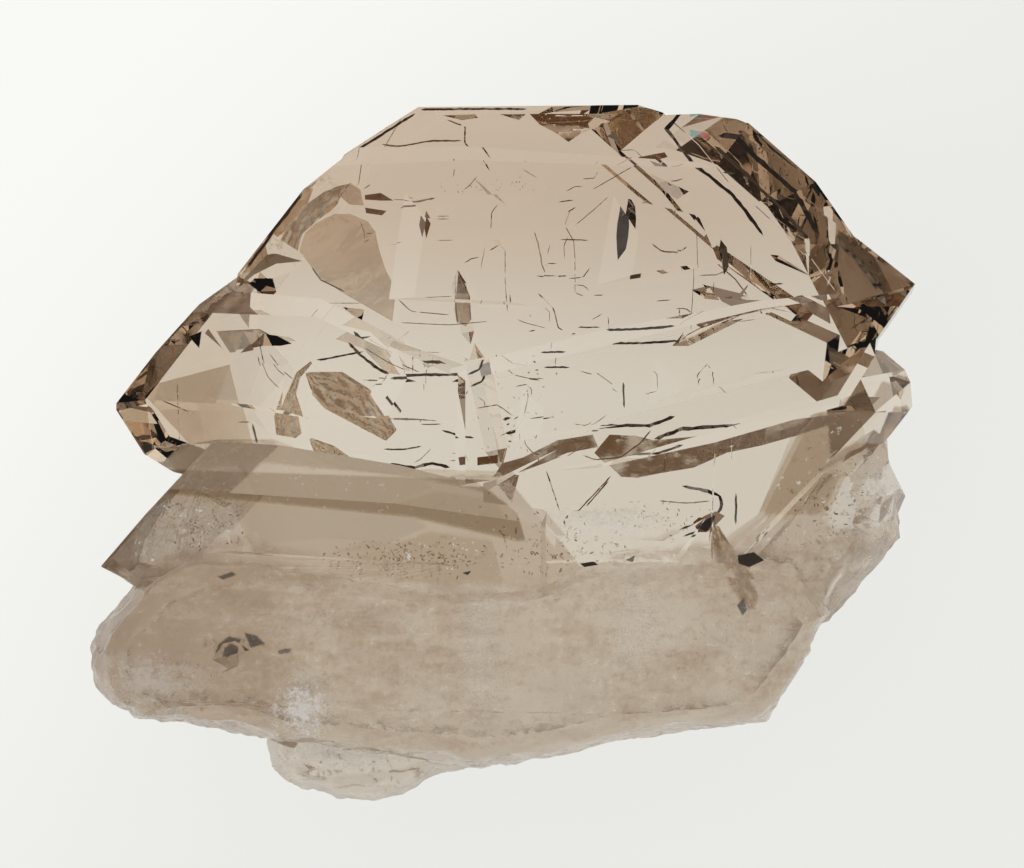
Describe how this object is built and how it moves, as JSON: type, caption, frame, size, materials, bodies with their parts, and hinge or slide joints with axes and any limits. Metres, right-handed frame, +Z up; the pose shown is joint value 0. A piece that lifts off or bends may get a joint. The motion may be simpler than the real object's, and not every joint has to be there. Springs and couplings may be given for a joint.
{
  "type": "quartz gwindel",
  "caption": "Natural twisted stack of flat smoky quartz crystals, clear above and cloudy below, broken along its base, lying on its back.",
  "frame": {"origin": "centre of the outline's box, on the plane that the crystal lies on", "axes": "+X along the crystals' points to the right end, +Y up the stack from the broken base to the clear crown, +Z up out of the broad front face"},
  "size_m": [0.072, 0.0612, 0.0214],
  "materials": {
    "smoky_quartz": "glossy"
  },
  "bodies": {
    "root": {"gwindel": "smoky_quartz"}
  },
  "joints": []
}
